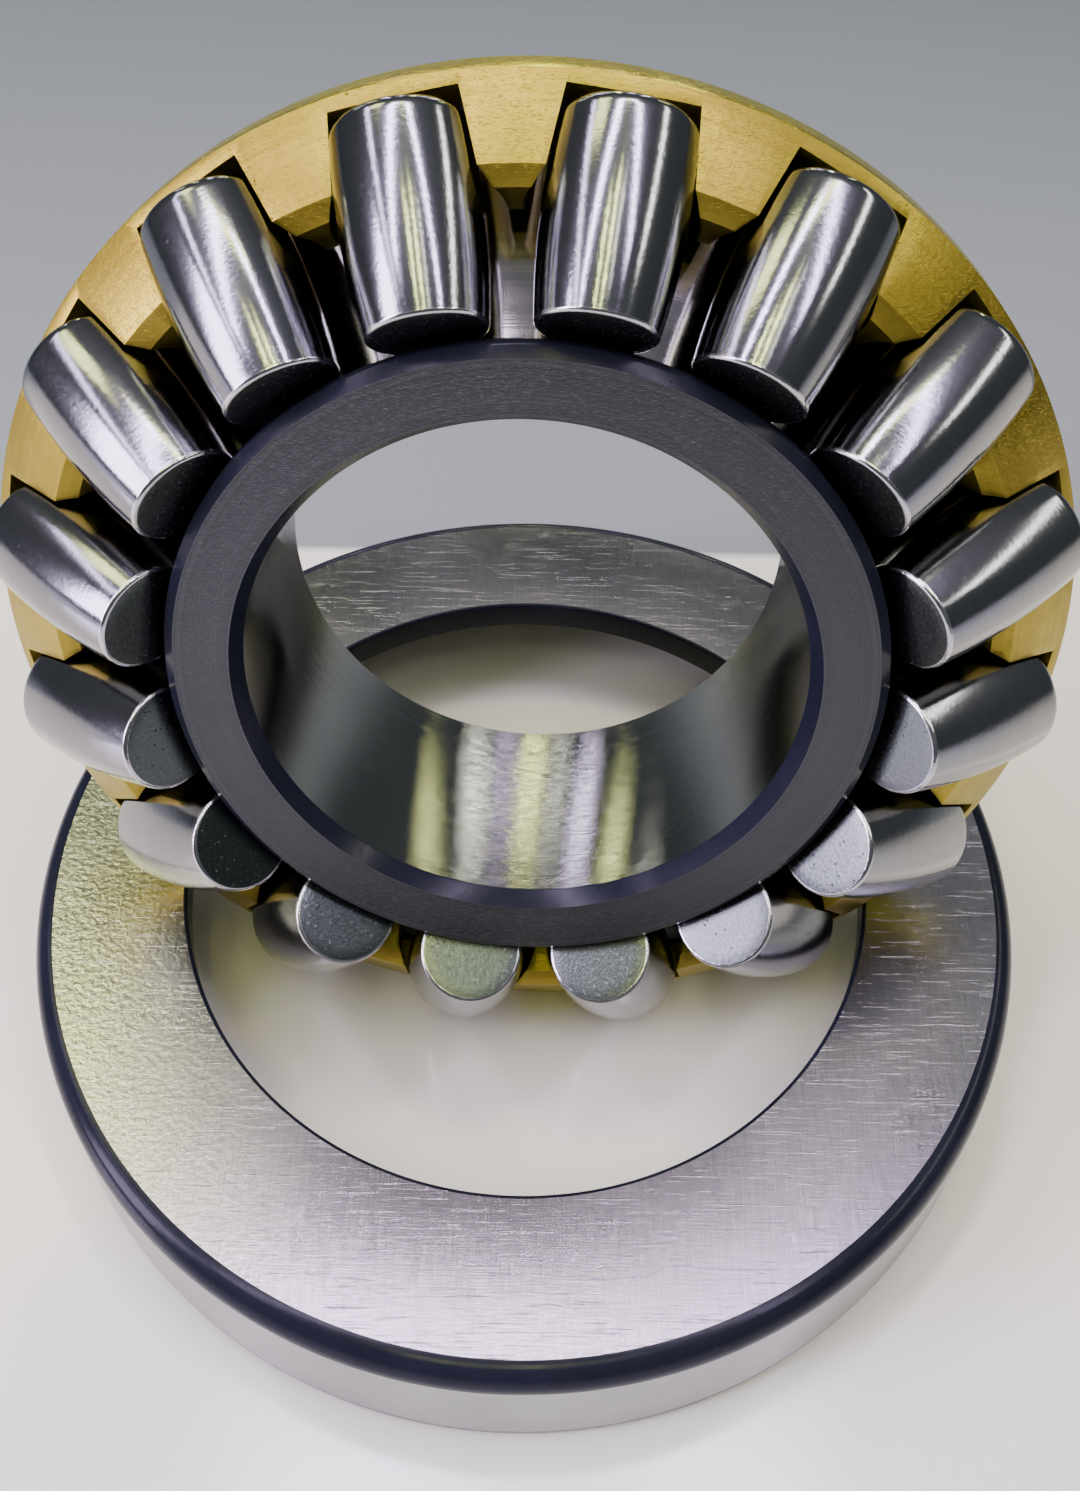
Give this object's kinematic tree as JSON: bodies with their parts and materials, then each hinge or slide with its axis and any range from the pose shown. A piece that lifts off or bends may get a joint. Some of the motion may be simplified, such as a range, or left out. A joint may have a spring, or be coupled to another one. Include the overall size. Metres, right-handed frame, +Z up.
{
  "type": "spherical roller thrust bearing",
  "caption": "Separable spherical roller thrust bearing: flat housing washer with the shaft washer, brass cage and barrel rollers leaning in its hole.",
  "frame": {"origin": "centre of the housing washer's underside, on the surface it stands on", "axes": "+Z up, the housing washer's axis; -Y towards the side that the shaft washer unit's small end faces; +X to the right seen from there"},
  "size_m": [0.21, 0.21, 0.1999],
  "materials": {
    "ground_steel": "ground bearing steel with fine crossed scratches",
    "shaft_washer_steel": "dark turned steel, ground bright in the bore and raceway",
    "machined_brass": "satin machined brass",
    "polished_steel": "finely ground and polished roller steel"
  },
  "bodies": {
    "housing_washer": {"housing_washer": "ground_steel"},
    "shaft_washer": {"shaft_washer": "shaft_washer_steel"},
    "cage": {"cage": "machined_brass"},
    "roller_01": {"roller_01": "polished_steel"},
    "roller_02": {"roller_02": "polished_steel"},
    "roller_03": {"roller_03": "polished_steel"},
    "roller_04": {"roller_04": "polished_steel"},
    "roller_05": {"roller_05": "polished_steel"},
    "roller_06": {"roller_06": "polished_steel"},
    "roller_07": {"roller_07": "polished_steel"},
    "roller_08": {"roller_08": "polished_steel"},
    "roller_09": {"roller_09": "polished_steel"},
    "roller_10": {"roller_10": "polished_steel"},
    "roller_11": {"roller_11": "polished_steel"},
    "roller_12": {"roller_12": "polished_steel"},
    "roller_13": {"roller_13": "polished_steel"},
    "roller_14": {"roller_14": "polished_steel"},
    "roller_15": {"roller_15": "polished_steel"},
    "roller_16": {"roller_16": "polished_steel"}
  },
  "joints": [
    {"name": "unit_lift_off", "type": "slide", "parent": "housing_washer", "child": "shaft_washer", "axis": [0, 0, 1], "range_m": [0, 0.08]},
    {"name": "cage_spin", "type": "hinge", "parent": "shaft_washer", "child": "cage", "pos_m": [0.00152, 0.0366, 0.09446], "axis": [-0.0351, -0.9612, 0.2736], "continuous": true},
    {"name": "roller_01_spin", "type": "hinge", "parent": "cage", "child": "roller_01", "pos_m": [0.01024, 0.00434, 0.17155], "axis": [0.1446, 0.8208, 0.5526], "continuous": true},
    {"name": "roller_02_spin", "type": "hinge", "parent": "cage", "child": "roller_02", "pos_m": [0.03442, 0.00105, 0.16312], "axis": [0.4245, 0.7828, 0.455], "continuous": true},
    {"name": "roller_03_spin", "type": "hinge", "parent": "cage", "child": "roller_03", "pos_m": [0.05331, -0.0044, 0.1464], "axis": [0.6433, 0.7197, 0.2614], "continuous": true},
    {"name": "roller_04_spin", "type": "hinge", "parent": "cage", "child": "roller_04", "pos_m": [0.06404, -0.01119, 0.12392], "axis": [0.7675, 0.641, 0.0011], "continuous": true},
    {"name": "roller_05_spin", "type": "hinge", "parent": "cage", "child": "roller_05", "pos_m": [0.06498, -0.01828, 0.09912], "axis": [0.7783, 0.5589, -0.2861], "continuous": true},
    {"name": "roller_06_spin", "type": "hinge", "parent": "cage", "child": "roller_06", "pos_m": [0.05597, -0.0246, 0.07576], "axis": [0.6741, 0.4857, -0.5565], "continuous": true},
    {"name": "roller_07_spin", "type": "hinge", "parent": "cage", "child": "roller_07", "pos_m": [0.03841, -0.02918, 0.05741], "axis": [0.4707, 0.4327, -0.7689], "continuous": true},
    {"name": "roller_08_spin", "type": "hinge", "parent": "cage", "child": "roller_08", "pos_m": [0.01494, -0.03133, 0.04686], "axis": [0.199, 0.4078, -0.8911], "continuous": true},
    {"name": "roller_09_spin", "type": "hinge", "parent": "cage", "child": "roller_09", "pos_m": [-0.01038, -0.03075, 0.04565], "axis": [-0.0942, 0.4145, -0.9052], "continuous": true},
    {"name": "roller_10_spin", "type": "hinge", "parent": "cage", "child": "roller_10", "pos_m": [-0.03462, -0.02751, 0.05392], "axis": [-0.3749, 0.452, -0.8094], "continuous": true},
    {"name": "roller_11_spin", "type": "hinge", "parent": "cage", "child": "roller_11", "pos_m": [-0.05363, -0.0221, 0.07051], "axis": [-0.595, 0.5147, -0.6172], "continuous": true},
    {"name": "roller_12_spin", "type": "hinge", "parent": "cage", "child": "roller_12", "pos_m": [-0.06453, -0.01532, 0.09292], "axis": [-0.7212, 0.5932, -0.3579], "continuous": true},
    {"name": "roller_13_spin", "type": "hinge", "parent": "cage", "child": "roller_13", "pos_m": [-0.06564, -0.00822, 0.11771], "axis": [-0.7341, 0.6754, -0.0708], "continuous": true},
    {"name": "roller_14_spin", "type": "hinge", "parent": "cage", "child": "roller_14", "pos_m": [-0.05681, -0.00188, 0.14112], "axis": [-0.6318, 0.7488, 0.2003], "continuous": true},
    {"name": "roller_15_spin", "type": "hinge", "parent": "cage", "child": "roller_15", "pos_m": [-0.03937, 0.00274, 0.15959], "axis": [-0.4299, 0.8023, 0.4141], "continuous": true},
    {"name": "roller_16_spin", "type": "hinge", "parent": "cage", "child": "roller_16", "pos_m": [-0.01599, 0.00494, 0.1703], "axis": [-0.1591, 0.8277, 0.5381], "continuous": true}
  ],
  "couplings": [
    {"joint": "roller_01_spin", "follows": "cage_spin", "ratio": -6.4039},
    {"joint": "roller_02_spin", "follows": "cage_spin", "ratio": -6.4039},
    {"joint": "roller_03_spin", "follows": "cage_spin", "ratio": -6.4039},
    {"joint": "roller_04_spin", "follows": "cage_spin", "ratio": -6.4039},
    {"joint": "roller_05_spin", "follows": "cage_spin", "ratio": -6.4039},
    {"joint": "roller_06_spin", "follows": "cage_spin", "ratio": -6.4039},
    {"joint": "roller_07_spin", "follows": "cage_spin", "ratio": -6.4039},
    {"joint": "roller_08_spin", "follows": "cage_spin", "ratio": -6.4039},
    {"joint": "roller_09_spin", "follows": "cage_spin", "ratio": -6.4039},
    {"joint": "roller_10_spin", "follows": "cage_spin", "ratio": -6.4039},
    {"joint": "roller_11_spin", "follows": "cage_spin", "ratio": -6.4039},
    {"joint": "roller_12_spin", "follows": "cage_spin", "ratio": -6.4039},
    {"joint": "roller_13_spin", "follows": "cage_spin", "ratio": -6.4039},
    {"joint": "roller_14_spin", "follows": "cage_spin", "ratio": -6.4039},
    {"joint": "roller_15_spin", "follows": "cage_spin", "ratio": -6.4039},
    {"joint": "roller_16_spin", "follows": "cage_spin", "ratio": -6.4039}
  ]
}
